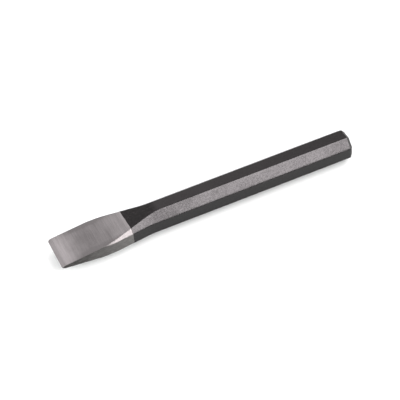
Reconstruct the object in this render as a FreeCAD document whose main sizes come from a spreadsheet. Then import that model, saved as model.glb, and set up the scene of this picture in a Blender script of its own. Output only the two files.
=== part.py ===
import FreeCAD, Part
import math
import os

import Sketcher
from FreeCAD import Vector

# A cold chisel: one bar of octagonal tool steel, forged at one end into a flared wedge that is
# left bare, with a black coat over the rest. It has two sub-parts, the steel and its coat.
#
# Each is drawn on the bar's own axis: the cutting edge at x = 0, the struck end at +X, the
# blade's width along Y and its thickness along Z. The Placement then lays the chisel on one flat
# of the bar, with the part's origin on that flat, midway along the tool.

# Driving dimensions, in millimetres.
DIMENSIONS = {
    "overall_length": 203.2,        # cutting edge to struck end, over the coat
    "bar_across_flats": 18.7,       # the steel alone
    "coat_thickness": 0.1,
    "blade_width": 25.4,
    "taper_length": 68.0,           # cutting edge to where the blade is as thick as the bar
    "flare_start": 61.5,            # cutting edge to where the sides begin to spread
    "flare_end": 35.5,              # cutting edge to where the blade is at full width
    "bend_radius": 40.0,            # how softly the forged faces run into the bar
    "bevel_length": 2.0,            # the steeper bevel ground along the cutting edge
    "bevel_thickness": 2.3,         # the blade's thickness behind that bevel
    "edge_thickness": 0.1,          # what the bevels leave at the edge itself
    "corner_radius": 1.2,           # the two rounded corners of the cutting edge
    "bare_length": 48.3,            # cutting edge to the front of the coat
    "head_chamfer": 1.95,           # round the struck end
    "cut_clearance": 5.0,           # how far a cut's outline runs past the steel it removes
}

# How far the surface being drawn stands out from the steel's.
NO_COAT = "0"
COAT = "Dimensions.coat_thickness"

# How far in an octagon's corner facet starts, as a share of its width across flats.
CORNER_SHARE = "(1 - tan(22.5 deg)) / 2"

FILLET = "PartDesign::Fillet"
CHAMFER = "PartDesign::Chamfer"
TINY = 1e-4

doc = FreeCAD.newDocument("ColdChisel")
sheet = doc.addObject("Spreadsheet::Sheet", "Dimensions")
for row, (alias, value) in enumerate(DIMENSIONS.items(), start=1):
    sheet.set("A%d" % row, alias)
    sheet.set("B%d" % row, str(value))
    sheet.setAlias("B%d" % row, alias)
doc.recompute()


def value_of(expression):
    """What an expression comes to, in millimetres."""
    return float(sheet.evalExpression(expression))


# Sketches. A corner is a pair of expressions: its distances from the sketch's origin.

def new_sketch(body, name, plane_role):
    """A sketch on one of the body's own origin planes."""
    sketch = body.newObject("Sketcher::SketchObject", name)
    plane = next(item for item in body.Origin.OriginFeatures if item.Role == plane_role)
    sketch.AttachmentSupport = [(plane, "")]
    sketch.MapMode = "FlatFace"
    return sketch


def point_at(corner):
    return Vector(value_of(corner[0]), value_of(corner[1]), 0)


def mirrored(corners):
    """The corners on the other side of the sketch's X axis, taken in the other order."""
    return [(across, "-(%s)" % up) for across, up in reversed(corners)]


def bind(sketch, label, constraint, expression):
    """Adds a sizing constraint that follows an expression."""
    number = sketch.addConstraint(constraint)
    sketch.renameConstraint(number, label)
    sketch.setExpression("Constraints." + label, expression)


def draw_outline(sketch, name, corners, closing_arc=None):
    """A closed outline through the corners. Its sides are straight, or all but the last are."""
    points = [point_at(corner) for corner in corners]
    shapes = [Part.LineSegment(start, end) for start, end in zip(points, points[1:])]
    shapes.append(closing_arc or Part.LineSegment(points[-1], points[0]))
    sides = [sketch.addGeometry(shape, False) for shape in shapes]
    for side, following in zip(sides, sides[1:] + sides[:1]):
        sketch.addConstraint(Sketcher.Constraint("Coincident", side, 2, following, 1))
    for number, (side, point, corner) in enumerate(zip(sides, points, corners), start=1):
        label = "%s%d" % (name, number)
        across = Sketcher.Constraint("DistanceX", -1, 1, side, 1, point.x)
        up = Sketcher.Constraint("DistanceY", -1, 1, side, 1, point.y)
        bind(sketch, label + "_across", across, corner[0])
        bind(sketch, label + "_up", up, corner[1])
    return sides


# Features

def cut_through(body, sketch, name):
    """Cuts a sketch's outlines right through the body, both ways."""
    before = body.Shape.Volume
    pocket = body.newObject("PartDesign::Pocket", name)
    pocket.Profile = sketch
    pocket.Type = "ThroughAll"
    pocket.SideType = "Symmetric"
    doc.recompute()
    if body.Shape.Volume > before - TINY:
        raise ValueError(name + " cut nothing")


def dress_edges(body, kind, name, is_wanted, size_property, expression):
    """A fillet or chamfer on the edges whose boxes is_wanted picks."""
    base = body.Tip
    edges = []
    for number, edge in enumerate(base.Shape.Edges, start=1):
        if is_wanted(edge.BoundBox):
            edges.append("Edge%d" % number)
    feature = body.newObject(kind, name)
    feature.Base = (base, edges)
    feature.setExpression(size_property, expression)
    doc.recompute()


# The shape that the steel and the outside of its coat share

def forge_chisel(label, skin):
    """The forged and ground shape of the whole tool, with its surface out by skin."""
    half_bar = "(Dimensions.bar_across_flats / 2 + %s)" % skin
    half_blade = "(Dimensions.blade_width / 2 + %s)" % skin
    half_bevel = "(Dimensions.bevel_thickness / 2 + %s)" % skin
    half_edge = "(Dimensions.edge_thickness / 2 + %s)" % skin
    struck_end = "(Dimensions.overall_length - Dimensions.coat_thickness + %s)" % skin
    facet = "2 * %s * %s" % (half_bar, CORNER_SHARE)
    axis_height = "Dimensions.bar_across_flats / 2 + Dimensions.coat_thickness"
    top = value_of(half_bar)
    length = value_of(struck_end)
    taper_length = value_of("Dimensions.taper_length")

    body = doc.addObject("PartDesign::Body", label)
    body.Label = label
    body.setExpression("Placement.Base.x", "-Dimensions.overall_length / 2")
    body.setExpression("Placement.Base.z", axis_height)

    # Seen from above: the blade's parallel sides, the flare, then the straight bar.
    plan = new_sketch(body, "Plan", "XY_Plane")
    one_side = [
        ("0", half_blade),
        ("Dimensions.flare_end", half_blade),
        ("Dimensions.flare_start", half_bar),
        (struck_end, half_bar),
    ]
    draw_outline(plan, "corner", one_side + mirrored(one_side))
    bar = body.newObject("PartDesign::Pad", "Bar")
    bar.Profile = plan
    bar.SideType = "Symmetric"
    bar.setExpression("Length", "2 * " + half_bar)
    doc.recompute()

    def is_side_bend(box):
        upright = box.XLength < TINY and box.YLength < TINY
        return upright and TINY < box.XMin < length - TINY

    def runs_along_a_side(box):
        return box.ZLength < TINY and box.XLength > TINY

    def is_face_bend(box):
        level = box.XLength < TINY and box.ZLength < TINY
        return level and abs(box.XMin - taper_length) < TINY and top - abs(box.ZMin) < TINY

    def is_round_the_head(box):
        return box.XMin > length - TINY

    # The sides bend softly in and out of the flare, and the octagon's four corner facets follow
    # them until the wedge is too thin to have any.
    dress_edges(body, FILLET, "SideBends", is_side_bend, "Radius", "Dimensions.bend_radius")
    dress_edges(body, CHAMFER, "CornerFacets", runs_along_a_side, "Size", facet)

    # Seen from the side: what is forged and ground away above and below the wedge.
    waste = new_sketch(body, "Waste", "XZ_Plane")
    above = [
        ("-Dimensions.cut_clearance", half_edge),
        ("0", half_edge),
        ("Dimensions.bevel_length", half_bevel),
        ("Dimensions.taper_length", half_bar),
        ("Dimensions.taper_length", half_bar + " + Dimensions.cut_clearance"),
        ("-Dimensions.cut_clearance", half_bar + " + Dimensions.cut_clearance"),
    ]
    draw_outline(waste, "above", above)
    draw_outline(waste, "below", mirrored(above))
    cut_through(body, waste, "Wedge")

    dress_edges(body, FILLET, "FaceBends", is_face_bend, "Radius", "Dimensions.bend_radius")
    dress_edges(body, CHAMFER, "HeadChamfer", is_round_the_head, "Size", "Dimensions.head_chamfer")
    return body


# Sub-parts

def make_steel():
    """The forging, with the two corners of its cutting edge rounded as seen from above."""
    steel = forge_chisel("forged_steel_bar", NO_COAT)
    sketch = new_sketch(steel, "CornerWaste", "XY_Plane")
    half_blade = "Dimensions.blade_width / 2"
    straight_end = half_blade + " - Dimensions.corner_radius"
    beyond = half_blade + " + Dimensions.cut_clearance"
    left = [
        ("0", straight_end),
        ("-Dimensions.cut_clearance", straight_end),
        ("-Dimensions.cut_clearance", beyond),
        ("Dimensions.corner_radius", beyond),
        ("Dimensions.corner_radius", half_blade),
    ]
    radius = value_of("Dimensions.corner_radius")
    for name, corners, hand in (("left", left, 1), ("right", mirrored(left), -1)):
        centre = Vector(radius, hand * value_of(straight_end), 0)
        outwards = Vector(-1, hand, 0) / math.sqrt(2)
        start = point_at(corners[-1])
        end = point_at(corners[0])
        rounding = Part.Arc(start, centre + outwards * radius, end)
        arc = draw_outline(sketch, name, corners, rounding)[-1]
        constraint = Sketcher.Constraint("Radius", arc, radius)
        bind(sketch, name + "_radius", constraint, "Dimensions.corner_radius")
    cut_through(steel, sketch, "BladeCorners")
    return steel


def make_coat(steel):
    """A thin closed skin over all of the steel but its bare blade."""
    blank = forge_chisel("coat_blank", COAT)
    sketch = new_sketch(blank, "BareWaste", "XY_Plane")
    beyond = "Dimensions.blade_width / 2 + Dimensions.cut_clearance"
    one_side = [("-Dimensions.cut_clearance", beyond), ("Dimensions.bare_length", beyond)]
    draw_outline(sketch, "bare", one_side + mirrored(one_side))
    cut_through(blank, sketch, "BareBlade")

    coat = doc.addObject("Part::Cut", "black_lacquer_coat")
    coat.Label = "black_lacquer_coat"
    coat.Base = blank
    coat.Tool = steel
    doc.recompute()
    return coat


steel_bar = make_steel()
sub_parts = [steel_bar, make_coat(steel_bar)]

for item in doc.Objects:
    if "Invalid" in item.State or "Error" in item.State:
        raise ValueError("%s failed: %s" % (item.Label, item.State))
for sub_part in sub_parts:
    shape = sub_part.Shape
    if shape.isNull() or not shape.isValid() or len(shape.Solids) != 1:
        raise ValueError(sub_part.Label + " is not one sound solid")

os.makedirs("parts", exist_ok=True)
for sub_part in sub_parts:
    sub_part.Shape.exportStep("parts/%s.step" % sub_part.Label)
    print(sub_part.Label, round(sub_part.Shape.Volume, 1), "mm3")
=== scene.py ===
import math

import bpy
import numpy as np
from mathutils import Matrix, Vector, noise


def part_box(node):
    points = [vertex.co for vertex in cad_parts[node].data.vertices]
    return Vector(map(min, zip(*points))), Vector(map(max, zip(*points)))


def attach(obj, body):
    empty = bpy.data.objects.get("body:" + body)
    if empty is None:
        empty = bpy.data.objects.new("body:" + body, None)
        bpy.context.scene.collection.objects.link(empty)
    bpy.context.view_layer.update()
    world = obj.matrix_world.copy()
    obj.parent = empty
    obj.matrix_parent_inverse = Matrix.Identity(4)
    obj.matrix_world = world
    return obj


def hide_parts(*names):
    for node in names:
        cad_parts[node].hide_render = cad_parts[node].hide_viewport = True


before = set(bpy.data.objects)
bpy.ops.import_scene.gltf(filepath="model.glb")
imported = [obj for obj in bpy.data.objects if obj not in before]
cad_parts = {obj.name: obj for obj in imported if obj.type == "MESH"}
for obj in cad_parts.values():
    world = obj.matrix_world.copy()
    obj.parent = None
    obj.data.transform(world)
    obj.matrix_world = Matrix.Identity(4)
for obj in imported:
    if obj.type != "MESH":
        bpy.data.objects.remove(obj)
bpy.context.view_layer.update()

# A cold chisel: an octagonal bar of tool steel, forged at one end into a flared wedge that is ground
# bright, with a black coat over the rest. Each of the two CAD nodes is replaced by a finer piece of the
# same shape. The cutting edge is at -X, the struck head at +X, and the tool lies on one of its flats.

MM = 0.001
BODY = "root"
STEEL_NODE = "forged_steel_bar"
COAT_NODE = "black_lacquer_coat"

# Dimensions read from the frame.
steel_low, steel_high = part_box(STEEL_NODE)
coat_low, coat_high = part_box(COAT_NODE)
EDGE_X = steel_low.x
AXIS_Z = (steel_low.z + steel_high.z) / 2
HALF_BAR = (steel_high.z - steel_low.z) / 2
HALF_BLADE = steel_high.y
STEEL_LENGTH = steel_high.x - EDGE_X
COAT_THICKNESS = coat_high.z - steel_high.z
COAT_FRONT = coat_low.x - EDGE_X

# The rest of the CAD model's driving dimensions. Lengths along the tool run from the cutting edge.
TAPER_LENGTH = 68 * MM
FLARE_START = 61.5 * MM
FLARE_END = 35.5 * MM
BEND_RADIUS = 40 * MM
BEVEL_LENGTH = 2 * MM
BEVEL_THICKNESS = 2.3 * MM
EDGE_THICKNESS = 0.1 * MM
PLAN_CORNER_RADIUS = 1.2 * MM
HEAD_CHAMFER = 1.95 * MM

# What the finer pieces add.
HOLLOW = 0.2 * MM               # how far the ground broad faces dip below a straight line
BEVEL_BEND_RADIUS = 4 * MM      # how softly the edge's bevel meets the broad face
CHAMFER_BEND_RADIUS = 0.35 * MM
BAR_CORNER_RADIUS = 0.7 * MM    # the octagon's eight long corners
BLADE_CORNER_BREAK = 0.12 * MM  # what is left of them on the wedge, where the corner facets have died out
FACET_FADE = 0.5 * MM           # how gently the corner facets die out
HEAD_DOME = 0.18 * MM           # the struck face stands this much prouder in the middle
LIP_LENGTH = 0.35 * MM          # over which the coat thickens from nothing
LIP_SLANT = 0.045               # how far back the coat's front lies, for each unit towards -Y
LIP_LEAD = 0.4 * MM             # how far ahead of the CAD model's it lies midway
LIP_RAGGEDNESS = 0.14 * MM
COAT_GAP = 0.004 * MM           # keeps the coat's inside clear of the steel
LIP_FADE = 12 * MM              # how far behind the coat's front its rings are square to the tool again
FORGED_RELIEF = 0.07 * MM       # how deep the forged taper's unevenness goes
DRAWN_RELIEF = 0.03 * MM        # how deep the plain bar's goes
BREAK_SHARE = 0.4               # the most of the wedge's half thickness that a corner break takes
ARC_SHARE = 0.45                # the most of a facet that the arc at either end of it takes

# How far apart the unevenness's larger and smaller bumps are, along X, Y and Z.
BROAD_BUMPS = (22 * MM, 9 * MM, 9 * MM)
SMALL_BUMPS = (7 * MM, 4 * MM, 4 * MM)

TAN_EIGHTH = math.tan(math.radians(22.5))


# The tool's outline, as functions of the distance from its cutting edge

def bent_line(along, knots, radii):
    """The straight line through the knots, with each inner knot eased as a bend of its radius."""
    places = [knot[0] for knot in knots]
    heights = [knot[1] for knot in knots]
    slopes = np.diff(heights) / np.diff(places)
    line = np.interp(along, places, heights)
    corners = zip(places[1:-1], heights[1:-1], slopes, slopes[1:], radii)
    for place, height, before, after, radius in corners:
        reach = radius * abs(math.atan(after) - math.atan(before)) / 2
        share = np.clip((along - place + reach) / (2 * reach), 0, 1)
        eased = height + before * (along - place) + (after - before) * reach * share**2
        line = np.where(abs(along - place) < reach, eased, line)
    return line


def half_height(along):
    """Half the steel's thickness, up and down."""
    knots = [
        (0, EDGE_THICKNESS / 2),
        (BEVEL_LENGTH, BEVEL_THICKNESS / 2),
        (TAPER_LENGTH, HALF_BAR),
        (2 * STEEL_LENGTH, HALF_BAR),
    ]
    share = np.clip((along - BEVEL_LENGTH) / (TAPER_LENGTH - BEVEL_LENGTH), 0, 1)
    return bent_line(along, knots, (BEVEL_BEND_RADIUS, BEND_RADIUS)) - HOLLOW * 4 * share * (1 - share)


def half_width(along):
    """Half the steel's width, from side to side."""
    knots = [
        (0, HALF_BLADE),
        (FLARE_END, HALF_BLADE),
        (FLARE_START, HALF_BAR),
        (2 * STEEL_LENGTH, HALF_BAR),
    ]
    before_round = np.clip(PLAN_CORNER_RADIUS - along, 0, PLAN_CORNER_RADIUS)
    rounding = PLAN_CORNER_RADIUS - np.sqrt(PLAN_CORNER_RADIUS**2 - before_round**2)
    return bent_line(along, knots, (BEND_RADIUS, BEND_RADIUS)) - rounding


def head_inset(along, length):
    """How far the chamfer round the struck head draws the surface in."""
    knots = [(0, 0), (length - HEAD_CHAMFER, 0), (length + HEAD_CHAMFER, 2 * HEAD_CHAMFER)]
    return bent_line(along, knots, (CHAMFER_BEND_RADIUS,))


# The tool's section. A ring of points goes round it, the same number at every station: an arc round each
# of the octagon's eight corners, then a flat stretch to the next. It starts at the +Y end of the top face
# and goes down the +Y side. Facet 0 is the top, 2 the +Y side, 4 the bottom and 6 the -Y side.

ARC_STEPS = 4
FLAT_STEPS = {0: 20, 1: 8, 2: 10, 3: 8, 4: 20, 5: 8, 6: 10, 7: 8}


def ring_layout():
    """For each point of a ring: its corner, how far round that corner's arc and how far on to the next."""
    rows = []
    for corner in range(8):
        rows += [(corner, step / ARC_STEPS, 0) for step in range(ARC_STEPS)]
        steps = FLAT_STEPS[(corner + 1) % 8]
        rows += [(corner, 1, step / steps) for step in range(steps)]
    columns = np.array(rows).T
    return columns[0].astype(int), columns[1], columns[2]


RING_CORNER, RING_TURN, RING_REACH = ring_layout()
RING_SIZE = len(RING_CORNER)


def corner_point(corner, height, width, facet):
    """Where a corner of the octagon would be if it weren't rounded, as Y and Z from the axis."""
    on_broad_face = np.isin(corner, (0, 3, 4, 7))
    y_sign = np.where(corner < 4, 1, -1)
    z_sign = np.where(np.isin(corner, (0, 1, 6, 7)), 1, -1)
    y = y_sign * np.where(on_broad_face, width - facet, width)
    z = z_sign * np.where(on_broad_face, height, height - facet)
    return y, z


def surface(along, skin, length):
    """Points of the tool's surface, out by skin, and their outward normals in the section's plane.

    along has one row for each station and one column for each point of the ring."""
    inset = head_inset(along, length)
    bar = HALF_BAR + skin
    side = half_height(along) + skin
    height = side - inset
    width = half_width(along) + skin - inset
    raw_facet = side - TAN_EIGHTH * bar - (2 - math.sqrt(2)) * inset
    least = np.minimum(BLADE_CORNER_BREAK, BREAK_SHARE * height)
    facet = (raw_facet + least + np.sqrt((raw_facet - least) ** 2 + (FACET_FADE * least / bar) ** 2)) / 2
    shortest = np.minimum(math.sqrt(2) * facet, 2 * np.minimum(height, width) - 2 * facet)
    radius = np.minimum(BAR_CORNER_RADIUS, ARC_SHARE * shortest / TAN_EIGHTH)
    tangent = radius * TAN_EIGHTH

    heading = np.radians(45) * RING_CORNER
    forward = np.cos(heading), -np.sin(heading)
    inward = forward[1], -forward[0]
    onward = np.cos(heading + np.radians(45)), -np.sin(heading + np.radians(45))
    turn = np.radians(45) * RING_TURN
    here = corner_point(RING_CORNER, height, width, facet)
    following = corner_point((RING_CORNER + 1) % 8, height, width, facet)
    points = []
    normals = []
    for axis in (0, 1):
        start = here[axis] - tangent * forward[axis]
        bow = radius * (np.sin(turn) * forward[axis] + (1 - np.cos(turn)) * inward[axis])
        run = following[axis] - here[axis] - 2 * tangent * onward[axis]
        points.append(start + bow + RING_REACH * run)
        normals.append(np.sin(turn) * forward[axis] - np.cos(turn) * inward[axis])
    return points[0], points[1], normals[0] + 0 * along, normals[1] + 0 * along


def smooth_noise(along, y, z, spacing, seed):
    """Smooth noise from -1 to 1 at each point, with bumps about as far apart as spacing (X, Y and Z)."""
    values = np.empty(along.shape)
    offset = Vector((seed * 17.3, seed * 5.1, seed * 9.7))
    for place in np.ndindex(along.shape):
        point = Vector((along[place] / spacing[0], y[place] / spacing[1], z[place] / spacing[2]))
        values[place] = noise.noise(point + offset)
    return values


def relief(along, y, z):
    """How far the unevenness of forging and drawing sinks each point below the true shape."""
    forged = 1 - np.clip((along - TAPER_LENGTH) / BEND_RADIUS, 0, 1)
    thick = np.clip(half_height(along) / (HALF_BAR / 2), 0, 1)
    depth = (DRAWN_RELIEF + (FORGED_RELIEF - DRAWN_RELIEF) * forged) * thick
    broad = smooth_noise(along, y, z, BROAD_BUMPS, 1)
    small = smooth_noise(along, y, z, SMALL_BUMPS, 2)
    return depth * np.clip(0.5 + 0.42 * broad + 0.14 * small, 0, 1)


def layer(along, skin, length):
    """The worked surface out by skin, as points with an extra last axis, in the row's frame."""
    y, z, y_normal, z_normal = surface(along, 0, STEEL_LENGTH)
    depth = relief(along, y, z)
    y, z, y_normal, z_normal = surface(along, skin, length)
    return np.stack([EDGE_X + along, y - depth * y_normal, AXIS_Z + z - depth * z_normal], axis=-1)


# Stations along the tool

def close_steps(start, end, step):
    """Even steps from start, stopping short of end."""
    return list(np.arange(start, end, step))


def steel_stations():
    """Close together round the cutting edge's corners, its bevel and the head's chamfer."""
    chamfer_start = STEEL_LENGTH - HEAD_CHAMFER
    stations = [PLAN_CORNER_RADIUS * (1 - math.cos(math.radians(angle))) for angle in range(0, 90, 10)]
    stations += close_steps(PLAN_CORNER_RADIUS, BEVEL_LENGTH + 1 * MM, 0.2 * MM)
    stations += close_steps(BEVEL_LENGTH + 1 * MM, chamfer_start - 1 * MM, 1 * MM)
    stations += close_steps(chamfer_start - 0.4 * MM, STEEL_LENGTH - 0.05 * MM, 0.15 * MM)
    return np.array(stations + [STEEL_LENGTH])


def coat_stations(length):
    """How far behind the coat's front each station is: close together at the lip and the head's chamfer."""
    reach = length - COAT_FRONT
    chamfer_start = reach - HEAD_CHAMFER
    stations = [LIP_LENGTH * (1 - math.cos(math.radians(angle))) for angle in range(0, 90, 15)]
    stations += close_steps(LIP_LENGTH, 3 * MM, 0.3 * MM)
    stations += close_steps(3 * MM, chamfer_start - 1 * MM, 1 * MM)
    stations += close_steps(chamfer_start - 0.4 * MM, reach - 0.05 * MM, 0.15 * MM)
    return np.array(stations + [reach])


def lip_offset():
    """How far each point of the ring moves the coat's front along the tool."""
    along = np.full((1, RING_SIZE), COAT_FRONT)
    y, z, _, _ = surface(along, 0, STEEL_LENGTH)
    wavy = smooth_noise(along, y, z, (1, 2.6 * MM, 2.6 * MM), 3)
    fine = smooth_noise(along, y, z, (1, 0.9 * MM, 0.9 * MM), 4)
    return LIP_RAGGEDNESS * (wavy + 0.5 * fine) - LIP_SLANT * y - LIP_LEAD


# Meshes. Each is a list of rings of points, joined in order.

CAP_SHARES = (0.97, 0.9, 0.8, 0.68, 0.55, 0.42, 0.3, 0.18, 0.07)


def head_rings(last_ring, length):
    """Rings that close the struck face, from its rim to near its middle, with the face slightly domed."""
    rings = []
    for share in CAP_SHARES:
        ring = last_ring.copy()
        ring[:, 0] = EDGE_X + length - HEAD_DOME * share**2
        ring[:, 1:] = [0, AXIS_Z] + share * (last_ring[:, 1:] - [0, AXIS_Z])
        rings.append(ring)
    return rings


def skin_faces(count, first=0):
    """Four-sided faces between each ring and the next."""
    faces = []
    for row in range(count - 1):
        base = first + row * RING_SIZE
        for column in range(RING_SIZE):
            beside = (column + 1) % RING_SIZE
            faces.append((base + column, base + RING_SIZE + column, base + RING_SIZE + beside, base + beside))
    return faces


def middle_faces(ring_start, middle):
    """Three-sided faces from a ring to the point in the middle of that end."""
    return [(ring_start + column, middle, ring_start + (column + 1) % RING_SIZE)
            for column in range(RING_SIZE)]


def corner_wear():
    """For each point of a ring, how near it is to one of the octagon's corners: 1 on it, 0 well away."""
    wear = np.zeros(RING_SIZE)
    on_arc = RING_REACH == 0
    wear[on_arc] = 1
    for corner in range(8):
        flat = (RING_CORNER == corner) & ~on_arc
        steps = FLAT_STEPS[(corner + 1) % 8]
        from_end = np.minimum(RING_REACH[flat], 1 - RING_REACH[flat]) * steps
        wear[flat] = np.clip(1 - from_end / 3, 0, 1)
    return wear


def make_piece(name, node, points, faces, wear, materials):
    """A mesh piece that rides on the tool's one body and stands for a CAD node."""
    mesh = bpy.data.meshes.new(name)
    mesh.from_pydata([tuple(point) for point in points], [], faces)
    mesh.update()
    mesh.shade_smooth()
    attribute = mesh.attributes.new("corner", "FLOAT", "POINT")
    attribute.data.foreach_set("value", np.asarray(wear, np.float32))
    for material in materials:
        mesh.materials.append(material)
    piece = bpy.data.objects.new(name, mesh)
    bpy.context.scene.collection.objects.link(piece)
    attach(piece, BODY)
    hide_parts(node)
    return piece


def make_steel(materials):
    """The forging, closed over its whole length."""
    stations = steel_stations()
    along = np.repeat(stations[:, None], RING_SIZE, axis=1)
    body = layer(along, 0, STEEL_LENGTH)
    body[-1, :, 0] -= HEAD_DOME
    rings = list(body) + head_rings(body[-1], STEEL_LENGTH)
    points = np.concatenate(rings)
    middle = len(points)
    points = np.vstack([points, [EDGE_X + STEEL_LENGTH, 0, AXIS_Z], [EDGE_X, 0, AXIS_Z]])
    faces = skin_faces(len(rings)) + middle_faces(middle - RING_SIZE, middle)
    faces += [tuple(reversed(face)) for face in middle_faces(0, middle + 1)]
    wear = np.append(np.tile(corner_wear(), len(rings)), [0, 0])
    return make_piece("chisel_steel", STEEL_NODE, points, faces, wear, materials)


def make_coat(materials):
    """The black coat, a thin closed shell over the bar, the head and the back of the wedge."""
    length = STEEL_LENGTH + COAT_THICKNESS
    behind = coat_stations(length)
    fade = np.clip(behind / LIP_FADE, 0, 1)
    fade = 1 - fade**2 * (3 - 2 * fade)
    along = COAT_FRONT + behind[:, None] + fade[:, None] * lip_offset()
    lip = np.clip(behind / LIP_LENGTH, 0, 1)
    thickness = COAT_GAP + (COAT_THICKNESS - COAT_GAP) * np.sqrt(1 - (1 - lip) ** 2)
    outside = layer(along, thickness[:, None], length)
    inside_along = np.minimum(along, STEEL_LENGTH)
    inside = layer(inside_along, COAT_GAP, STEEL_LENGTH)
    inside[0] = outside[0]
    outside[-1, :, 0] -= HEAD_DOME
    inside[-1, :, 0] -= HEAD_DOME - COAT_GAP
    outer = list(outside) + head_rings(outside[-1], length)
    inner = list(inside[1:]) + head_rings(inside[-1], STEEL_LENGTH + COAT_GAP)
    points = np.concatenate(outer + inner)
    outer_size = len(outer) * RING_SIZE
    total = len(points)
    points = np.vstack([points, [EDGE_X + length, 0, AXIS_Z], [EDGE_X + STEEL_LENGTH + COAT_GAP, 0, AXIS_Z]])
    faces = skin_faces(len(outer)) + middle_faces(outer_size - RING_SIZE, total)
    lining = skin_faces(len(inner), outer_size) + middle_faces(total - RING_SIZE, total + 1)
    for column in range(RING_SIZE):
        beside = (column + 1) % RING_SIZE
        lining.append((column, outer_size + column, outer_size + beside, beside))
    faces += [tuple(reversed(face)) for face in lining]
    wear = np.append(np.tile(corner_wear(), len(outer) + len(inner)), [0, 0])
    coat = make_piece("chisel_coat", COAT_NODE, points, faces, wear, materials)
    # The duller lacquer, the second material, covers the struck face and its chamfer.
    for polygon in coat.data.polygons:
        if polygon.center.x > EDGE_X + STEEL_LENGTH - HEAD_CHAMFER:
            polygon.material_index = 1
    return coat


# Materials. Places in them are in millimetres, and those along the tool run from the cutting edge.

NOISE_LOW = 0.3      # nearly all of a noise's values lie between these two
NOISE_HIGH = 0.7


def new_material(name):
    """A material with only a Principled shader, as (material, node tree, shader)."""
    material = bpy.data.materials.new(name)
    material.use_nodes = True
    tree = material.node_tree
    shader = next(node for node in tree.nodes if node.type == "BSDF_PRINCIPLED")
    return material, tree, shader


def add_node(tree, kind, settings=(), inputs=()):
    """A node with some of its properties and inputs set. A socket as an input's value is linked to it."""
    node = tree.nodes.new(kind)
    for name, value in dict(settings).items():
        setattr(node, name, value)
    for key, value in dict(inputs).items():
        if isinstance(value, bpy.types.NodeSocket):
            tree.links.new(value, node.inputs[key])
        else:
            node.inputs[key].default_value = value
    return node


def millimetres(tree, stretch=(1, 1, 1), turn=(0, 0, 0)):
    """The point's place in the tool's own frame, in millimetres, stretched and turned for a pattern."""
    place = add_node(tree, "ShaderNodeTexCoord").outputs["Object"]
    inputs = {"Vector": place, "Scale": [share / MM for share in stretch], "Rotation": turn}
    return add_node(tree, "ShaderNodeMapping", inputs=inputs).outputs[0]


def noise_value(tree, vector, scale, detail=2.0, roughness=0.5):
    """Noise from about 0.2 to 0.8, with about scale bumps to the millimetre."""
    inputs = {"Vector": vector, "Scale": scale, "Detail": detail, "Roughness": roughness}
    return add_node(tree, "ShaderNodeTexNoise", inputs=inputs).outputs["Fac"]


def remap(tree, value, low, high, to_low=0.0, to_high=1.0, smooth=True):
    """value taken from the range low to high onto the range to_low to to_high, and no further.

    It eases in and out of that range, or runs straight if smooth isn't set."""
    inputs = {0: value, 1: low, 2: high, 3: to_low, 4: to_high}
    kind = "SMOOTHSTEP" if smooth else "LINEAR"
    return add_node(tree, "ShaderNodeMapRange", {"interpolation_type": kind}, inputs).outputs[0]


def spread(tree, noise_socket, low, high):
    """A noise's values taken in proportion onto the range low to high."""
    return remap(tree, noise_socket, NOISE_LOW, NOISE_HIGH, low, high, False)


def maths(tree, operation, first, second=0.0, clamp=False):
    """What a Math node makes of two values, held between 0 and 1 if clamp is set."""
    settings = {"operation": operation, "use_clamp": clamp}
    return add_node(tree, "ShaderNodeMath", settings, {0: first, 1: second}).outputs[0]


def add_up(tree, first, *others):
    """All the values added up."""
    total = first
    for other in others:
        total = maths(tree, "ADD", total, other)
    return total


def blend(tree, share, first, second):
    """The colour share of the way from the first to the second."""
    inputs = {0: share, 6: first, 7: second}
    return add_node(tree, "ShaderNodeMix", {"data_type": "RGBA"}, inputs).outputs[2]


def grey(value, warmth):
    """A grey with a little more red and less blue, by the share warmth."""
    return (value * (1 + warmth), value, value * (1 - warmth), 1)


def bump(tree, height, depth, before=None):
    """A bump whose height value of 1 stands depth metres proud."""
    inputs = {"Strength": 1.0, "Distance": depth, "Height": height}
    if before is not None:
        inputs["Normal"] = before
    return add_node(tree, "ShaderNodeBump", inputs=inputs).outputs["Normal"]


def ground_colour(tree, place, along, across, lines):
    """The broad faces' colour: grinding lines over painted reflection and shade, changing from the edge to
    the coat.
    """
    outwards = maths(tree, "ABSOLUTE", across)
    slanted = maths(tree, "ADD", along, maths(tree, "MULTIPLY", across, LIP_SLANT))
    bands = noise_value(tree, millimetres(tree, (1, 0.05, 0.05), (0, 0, math.radians(-3))), 0.55, 2.0)
    patches = noise_value(tree, place, 0.12, 3.0)
    coat_front = COAT_FRONT / MM
    bevel = BEVEL_LENGTH / MM

    # Painted reflection: lightest behind the bevel, darkest midway, then lighter again up to the coat. The
    # bevel
    #  itself is painted darker, and the faces are painted darker towards their sides, both as painted shade.
    #  These tones are painted in, and aren't left to what the steel mirrors.
    reflection_behind_bevel = remap(tree, along, bevel, 19.0, 0.78, 0.0)
    reflection_towards_coat = remap(tree, along, 28.0, coat_front - 0.3, 0.0, 0.24)
    reflection_beside_coat = remap(tree, slanted, coat_front - 2.5, coat_front - 0.3, 0.0, 0.25)
    shade_on_bevel = remap(tree, along, bevel - 0.8, bevel + 0.6, 0.36, 0.0)
    shade_at_sides = remap(tree, outwards, 7.5, 12.6)
    side_shade_depth = remap(tree, along, 3.0, 22.0, 0.12, 0.34)

    worked = add_up(tree, spread(tree, lines, -0.09, 0.09), spread(tree, bands, -0.08, 0.08))
    worked = add_up(tree, worked, spread(tree, patches, 0.04, 0.20))
    bright = add_up(tree, reflection_behind_bevel, reflection_towards_coat, worked, reflection_beside_coat)
    bright = maths(tree, "SUBTRACT", bright, shade_on_bevel)
    bright = maths(tree, "SUBTRACT", bright, maths(tree, "MULTIPLY", shade_at_sides, side_shade_depth), True)
    return blend(tree, bright, grey(0.215, 0.012), grey(0.50, 0.010))


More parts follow.
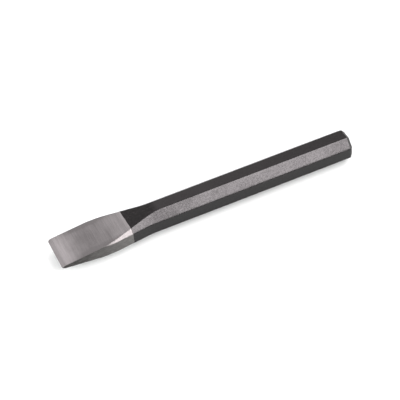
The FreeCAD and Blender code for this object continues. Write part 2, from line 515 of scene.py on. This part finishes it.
def steel_material():
    """Tool steel, ground bright across the blade's broad faces, with darker forged skin on its sides."""
    material, tree, shader = new_material("ground_tool_steel")
    place = millimetres(tree)
    axes = add_node(tree, "ShaderNodeSeparateXYZ", inputs={0: place})
    along = maths(tree, "SUBTRACT", axes.outputs["X"], EDGE_X / MM)
    facing = add_node(tree, "ShaderNodeTexCoord").outputs["Normal"]
    sideways = add_node(tree, "ShaderNodeSeparateXYZ", inputs={0: facing}).outputs["Y"]
    sideways = maths(tree, "ABSOLUTE", sideways)
    grinding = millimetres(tree, (1, 0.035, 0.035), (0, 0, math.radians(1.5)))
    lines = noise_value(tree, grinding, 2.2, 3.0, 0.6)
    ground = ground_colour(tree, place, along, axes.outputs["Y"], lines)

    # The corner facets are duller, and the thin sides keep the forging's dark skin, rubbed lighter in streaks
    #  and painted darker towards the cutting edge as painted shade. sideways is 0 on the broad faces, 0.7 on
    #  the facets and 1 on the sides.
    streaks = noise_value(tree, millimetres(tree, (0.25, 1, 1)), 1.3, 4.0, 0.65)
    rubbed = remap(tree, streaks, 0.35, 0.7, 0.0, 0.35)
    # The rise along the tool is painted shade, darkest at the cutting edge.
    rubbed = maths(tree, "ADD", rubbed, remap(tree, along, 8.0, 48.0, 0.0, 0.65, False))
    side = blend(tree, rubbed, grey(0.03, 0.04), grey(0.17, 0.03))
    facet = blend(tree, streaks, grey(0.12, 0.02), grey(0.19, 0.02))
    # Painted shade: the corner facets are painted dark up to 27 mm from the cutting edge, hiding their
    # highlight there.
    facet = blend(tree, remap(tree, along, 27.0, 35.0), grey(0.05, 0.02), facet)
    colour = blend(tree, remap(tree, sideways, 0.2, 0.5), ground, facet)
    colour = blend(tree, remap(tree, sideways, 0.8, 0.97), colour, side)
    tree.links.new(colour, shader.inputs["Base Color"])

    dull = remap(tree, sideways, 0.2, 0.55)
    rough = add_up(tree, spread(tree, lines, 0.16, 0.23), maths(tree, "MULTIPLY", dull, 0.21))
    tree.links.new(rough, shader.inputs["Roughness"])
    shader.inputs["Metallic"].default_value = 1.0
    normal = bump(tree, lines, 0.006 * MM)
    normal = bump(tree, maths(tree, "MULTIPLY", streaks, dull), 0.008 * MM, normal)
    tree.links.new(normal, shader.inputs["Normal"])
    return material


def coat_material():
    """Black lacquer, glossy, with a fine unevenness, and rubbed along the octagon's corners."""
    material, tree, shader = new_material("black_lacquer")
    place = millimetres(tree)
    corner = add_node(tree, "ShaderNodeAttribute", {"attribute_name": "corner"}).outputs["Fac"]
    clouds = noise_value(tree, place, 0.07, 3.0)
    mottle = noise_value(tree, place, 0.95, 4.0, 0.65)
    peel = noise_value(tree, place, 1.0, 3.0)
    drawn = noise_value(tree, millimetres(tree, (0.03, 1, 1)), 1.6, 2.0)

    # Bare metal only just starts to show in small chips on the corners, and specks of dust lie over it all.
    chips = noise_value(tree, millimetres(tree, (0.6, 1, 1)), 0.9, 4.0, 0.7)
    chips = maths(tree, "MULTIPLY", remap(tree, corner, 0.5, 0.95), remap(tree, chips, 0.60, 0.68))
    dust = remap(tree, noise_value(tree, place, 2.4, 2.0), 0.70, 0.78)
    colour = blend(tree, remap(tree, mottle, 0.35, 0.65), grey(0.001, 0.05), grey(0.009, 0.03))
    colour = blend(tree, maths(tree, "MULTIPLY", dust, 0.2), colour, grey(0.16, 0.03))
    colour = blend(tree, maths(tree, "MULTIPLY", chips, 0.35), colour, grey(0.12, 0.02))
    tree.links.new(colour, shader.inputs["Base Color"])

    rough = add_up(tree, spread(tree, clouds, 0.18, 0.24), spread(tree, mottle, -0.07, 0.08))
    worn = add_up(tree, maths(tree, "MULTIPLY", chips, 0.15), maths(tree, "MULTIPLY", dust, 0.2))
    tree.links.new(add_up(tree, rough, worn), shader.inputs["Roughness"])
    shader.inputs["Metallic"].default_value = 0.0
    shader.inputs["IOR"].default_value = 1.34
    normal = bump(tree, peel, 0.010 * MM)
    normal = bump(tree, drawn, 0.012 * MM, normal)
    tree.links.new(normal, shader.inputs["Normal"])
    return material


def head_material():
    """The same lacquer on the struck head, duller over the rings left where the end was faced off."""
    material, tree, shader = new_material("black_lacquer_head")
    place = millimetres(tree)
    axis = (0, 0, AXIS_Z / MM)
    centred = add_node(tree, "ShaderNodeVectorMath", {"operation": "SUBTRACT"}, {0: place, 1: axis})
    axes = add_node(tree, "ShaderNodeSeparateXYZ", inputs={0: centred.outputs[0]})
    across = maths(tree, "POWER", axes.outputs["Y"], 2.0)
    up = maths(tree, "POWER", axes.outputs["Z"], 2.0)
    radius = maths(tree, "SQRT", maths(tree, "ADD", across, up))
    inputs = {"W": radius, "Scale": 1.6, "Detail": 3.0}
    rings = add_node(tree, "ShaderNodeTexNoise", {"noise_dimensions": "1D"}, inputs).outputs["Fac"]
    mottle = noise_value(tree, place, 1.6, 3.0, 0.6)
    ringed = remap(tree, rings, NOISE_LOW, NOISE_HIGH, 0.0, 0.7)
    shade = maths(tree, "ADD", ringed, maths(tree, "MULTIPLY", mottle, 0.3))
    colour = blend(tree, shade, grey(0.003, 0.05), grey(0.018, 0.04))
    tree.links.new(colour, shader.inputs["Base Color"])
    tree.links.new(remap(tree, shade, 0.2, 0.8, 0.34, 0.50, False), shader.inputs["Roughness"])
    shader.inputs["Metallic"].default_value = 0.0
    shader.inputs["IOR"].default_value = 1.42
    shader.inputs["Specular IOR Level"].default_value = 0.35
    normal = bump(tree, rings, 0.03 * MM)
    normal = bump(tree, mottle, 0.012 * MM, normal)
    tree.links.new(normal, shader.inputs["Normal"])
    return material


# The stage

WARMTH = (1.0, 0.93, 0.955)     # the light's tint
FLOOR_HALF = 4.0                # metres
FLOOR_GREY = 0.88
FLOOR_DROP = 0.01 * MM          # keeps the floor clear of the tool
SOFT_BOX_DISTANCE = 3.6         # metres

# Each soft box's name, azimuth and elevation in degrees, width and height in metres, and radiance.
SOFT_BOXES = (
    ("front_box", 27, 42.5, 1.3, 0.9, 19.5),
    ("left_box", -57, 40, 1.2, 0.9, 7.0),
    ("back_box", 111, 43, 1.2, 0.9, 7.0),
)


def make_floor():
    """A plain pale floor, just under the flat that the tool lies on. Its tint undoes the light's."""
    material, tree, shader = new_material("pale_floor")
    tint = [FLOOR_GREY * WARMTH[1] / share for share in WARMTH]
    shader.inputs["Base Color"].default_value = (*tint, 1)
    shader.inputs["Roughness"].default_value = 0.9
    shader.inputs["Specular IOR Level"].default_value = 0.1
    height = coat_low.z - FLOOR_DROP
    corners = [(x * FLOOR_HALF, y * FLOOR_HALF, height) for x, y in ((-1, -1), (1, -1), (1, 1), (-1, 1))]
    mesh = bpy.data.meshes.new("floor")
    mesh.from_pydata(corners, [], [(0, 1, 2, 3)])
    mesh.materials.append(material)
    floor = bpy.data.objects.new("floor", mesh)
    bpy.context.scene.collection.objects.link(floor)


def direction(azimuth, elevation):
    """A unit vector towards that side: azimuth 0 is -Y and 90 is +X, both in degrees."""
    turn = math.radians(azimuth)
    rise = math.radians(elevation)
    return Vector((math.sin(turn) * math.cos(rise), -math.cos(turn) * math.cos(rise), math.sin(rise)))


def make_soft_box(name, azimuth, elevation, width, height, radiance):
    """A soft box aimed at the tool from that side."""
    light = bpy.data.lights.new(name, "AREA")
    light.shape = "RECTANGLE"
    light.size = width
    light.size_y = height
    light.energy = radiance * math.pi * width * height
    light.color = WARMTH
    lamp = bpy.data.objects.new(name, light)
    towards = direction(azimuth, elevation)
    lamp.location = towards * SOFT_BOX_DISTANCE
    lamp.rotation_mode = "QUATERNION"
    lamp.rotation_quaternion = towards.to_track_quat("Z", "Y")
    bpy.context.scene.collection.objects.link(lamp)


def facing_share(tree, towards, middle, reach):
    """1 where the surroundings lie in the middle's direction, fading to 0 at reach degrees from it."""
    node = add_node(tree, "ShaderNodeVectorMath", {"operation": "DOT_PRODUCT"}, {0: towards, 1: middle})
    angle = maths(tree, "ARCCOSINE", node.outputs["Value"])
    return remap(tree, angle, 0.0, math.radians(reach), 1.0, 0.0)


def make_surroundings():
    """Pale surroundings, brighter overhead. They have three patches, for the tool to mirror: flag is a
    broad dark one high behind it, glow a small bright one inside that, and card a dark one low in front."""
    world = bpy.data.worlds.new("studio")
    bpy.context.scene.world = world
    world.use_nodes = True
    tree = world.node_tree
    background = next(node for node in tree.nodes if node.type == "BACKGROUND")
    background.inputs["Color"].default_value = (*WARMTH, 1)
    towards = add_node(tree, "ShaderNodeTexCoord").outputs["Generated"]
    height = add_node(tree, "ShaderNodeSeparateXYZ", inputs={0: towards}).outputs["Z"]
    light = remap(tree, height, 0.35, 0.75, 1.15, 1.62)
    flag = facing_share(tree, towards, direction(190, 47), 55)
    flag_depth = remap(tree, height, 0.12, 0.5, 0.0, 0.86)
    light = maths(tree, "SUBTRACT", light, maths(tree, "MULTIPLY", flag, flag_depth))
    card = facing_share(tree, towards, direction(45, 20), 30)
    light = maths(tree, "SUBTRACT", light, maths(tree, "MULTIPLY", card, 0.6))
    glow = facing_share(tree, towards, direction(165.5, 46), 12.5)
    light = maths(tree, "ADD", light, maths(tree, "MULTIPLY", glow, 1.55))
    tree.links.new(light, background.inputs["Strength"])


def make_camera():
    """Looks down on the tool from the blade's end of its -Y side, with a long lens and a slight roll."""
    azimuth = -20.7
    elevation = 46.47
    roll = -5.59
    distance = 0.979
    aim = Vector((-3.4 * MM, -0.7 * MM, AXIS_Z))
    data = bpy.data.cameras.new("camera")
    data.sensor_width = 36
    data.lens = 139.8
    camera = bpy.data.objects.new("camera", data)
    back = direction(azimuth, elevation)
    camera.location = aim + back * distance
    camera.rotation_mode = "QUATERNION"
    level = back.to_track_quat("Z", "Y")
    twist = math.radians(roll)
    camera.rotation_quaternion = level @ Vector((1, 0, 0)).rotation_difference(
        Vector((math.cos(twist), math.sin(twist), 0)))
    bpy.context.scene.collection.objects.link(camera)
    bpy.context.scene.camera = camera


make_camera()
make_floor()
for soft_box in SOFT_BOXES:
    make_soft_box(*soft_box)
make_surroundings()
make_steel([steel_material()])
make_coat([coat_material(), head_material()])
bpy.context.scene.view_settings.view_transform = "Standard"
